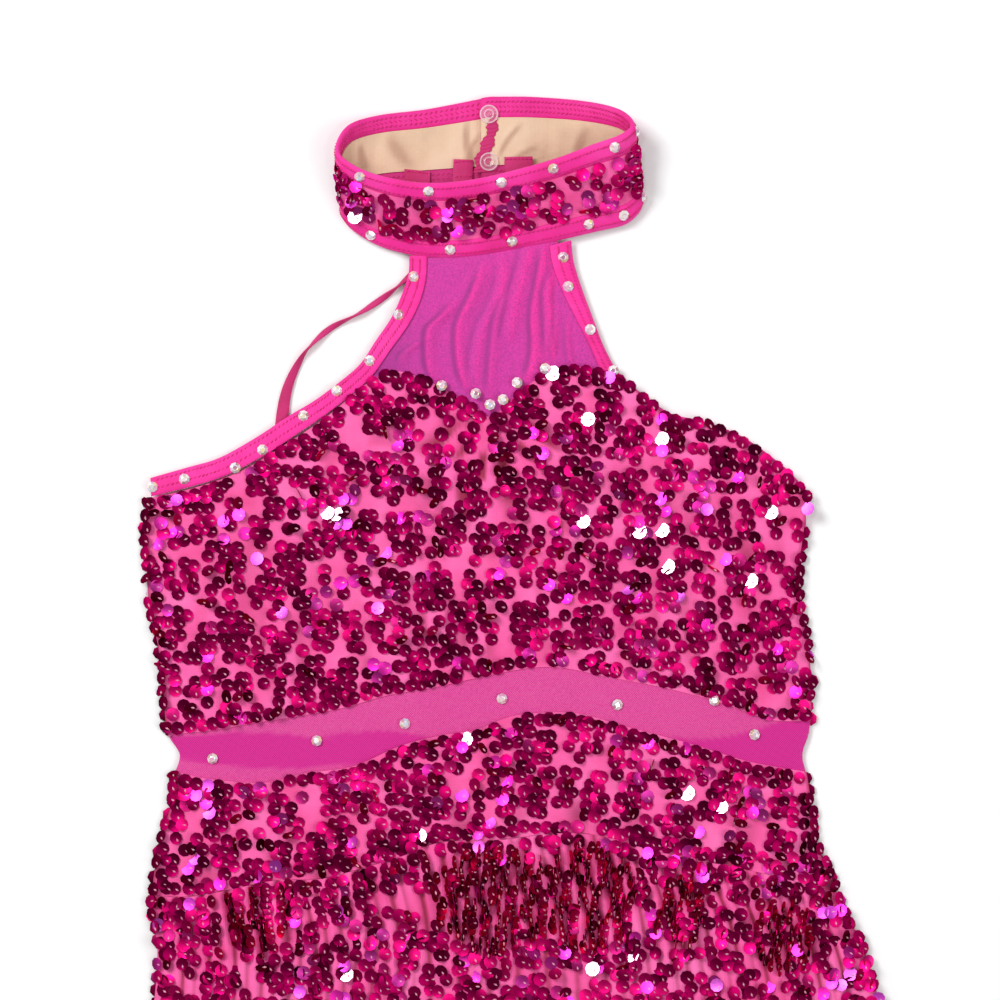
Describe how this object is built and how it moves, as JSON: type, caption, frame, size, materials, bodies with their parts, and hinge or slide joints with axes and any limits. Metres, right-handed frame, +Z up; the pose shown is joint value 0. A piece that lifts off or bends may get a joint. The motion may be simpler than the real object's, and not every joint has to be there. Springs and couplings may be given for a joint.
{
  "type": "child's halter dance dress",
  "caption": "Sequinned halter dance dress with a choker collar, net yoke and midriff, and a gathered skirt, laid flat on its back.",
  "frame": {"origin": "middle of the outline, on the surface that the dress lies on", "axes": "+Y from the hem to the collar, +Z up out of the front, +X to the right as seen from above"},
  "size_m": [0.3628, 0.5075, 0.0214],
  "materials": {
    "sequin_cloth": "pink stretch cloth with small round plum and pink sequins",
    "binding": "matt stretch binding in hot pink, topstitched",
    "net": "fine magenta stretch net",
    "lining": "plain beige lining",
    "clear_plastic": "clear gloss"
  },
  "bodies": {
    "root": {"collar_band": "sequin_cloth", "collar_lining": "lining", "collar_binding_top": "binding", "collar_binding_bottom": "binding", "snap_upper": "clear_plastic", "snap_lower": "clear_plastic", "yoke_net": "net", "binding_left": "binding", "binding_right": "binding", "bodice_front": "sequin_cloth", "midriff_front": "net", "hip_yoke_front": "sequin_cloth", "skirt_front": "sequin_cloth", "back_binding": "binding", "bodice_back": "sequin_cloth", "midriff_back": "net", "hip_yoke_back": "sequin_cloth", "skirt_back": "sequin_cloth", "strap_left": "binding", "strap_right": "binding"}
  },
  "joints": []
}
